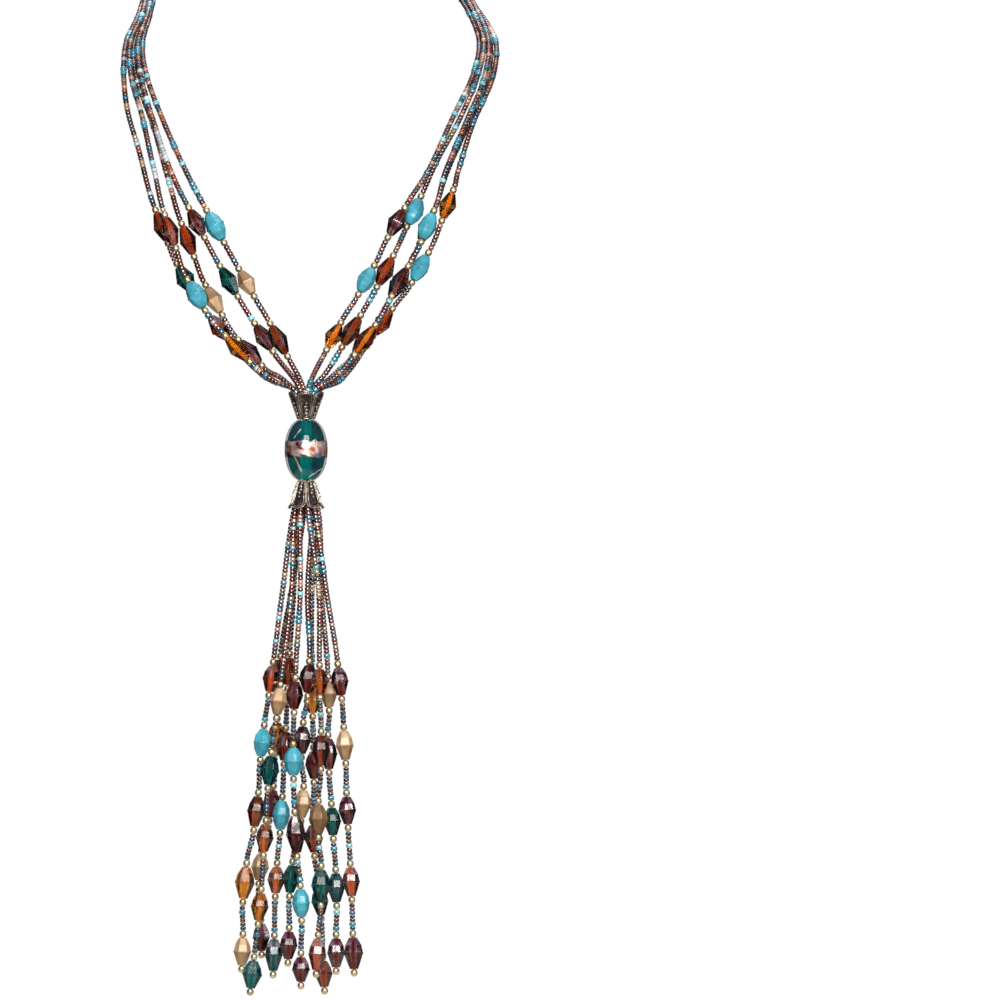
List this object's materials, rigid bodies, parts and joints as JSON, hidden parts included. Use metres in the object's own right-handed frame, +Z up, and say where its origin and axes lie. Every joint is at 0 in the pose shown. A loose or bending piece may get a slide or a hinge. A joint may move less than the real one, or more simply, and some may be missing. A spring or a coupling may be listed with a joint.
{
  "type": "tassel necklace",
  "caption": "Long necklace of seed-bead strings with faceted glass beads and brass balls, drawn through two petal caps and a large glass bead into a hanging bead tassel.",
  "frame": {"origin": "where the necklace rests on the nape, at the middle of the clasp, on its side towards the neck", "axes": "+Z up, along the hanging tassel; -Y forward, the way the wearer faces; +X to the right as seen from the front"},
  "size_m": [0.1512, 0.1498, 0.4294],
  "materials": {
    "clasp_metal": "antiqued, satin",
    "cap_metal": "antiqued silver, dark in the recesses",
    "center_glass": "polished, with a metallic band",
    "bead_glass": "pressed facets, lustred",
    "seed_glass": "glossy, metallic lustre",
    "brass": "satin"
  },
  "bodies": {
    "root": {"clasp": "clasp_metal", "upper_cap": "cap_metal", "center_bead": "center_glass", "lower_cap": "cap_metal", "string_1": "seed_glass", "string_2": "seed_glass", "string_3": "seed_glass", "string_4": "seed_glass", "string_5": "seed_glass", "string_6": "seed_glass", "string_7": "seed_glass", "string_8": "seed_glass", "string_9": "seed_glass", "string_10": "seed_glass", "glass_beads_1": "bead_glass", "glass_beads_2": "bead_glass", "glass_beads_3": "bead_glass", "glass_beads_4": "bead_glass", "glass_beads_5": "bead_glass", "glass_beads_6": "bead_glass", "glass_beads_7": "bead_glass", "glass_beads_8": "bead_glass", "glass_beads_9": "bead_glass", "glass_beads_10": "bead_glass", "brass_balls_1": "brass", "brass_balls_2": "brass", "brass_balls_3": "brass", "brass_balls_4": "brass", "brass_balls_5": "brass", "brass_balls_6": "brass", "brass_balls_7": "brass", "brass_balls_8": "brass", "brass_balls_9": "brass", "brass_balls_10": "brass"}
  },
  "joints": []
}
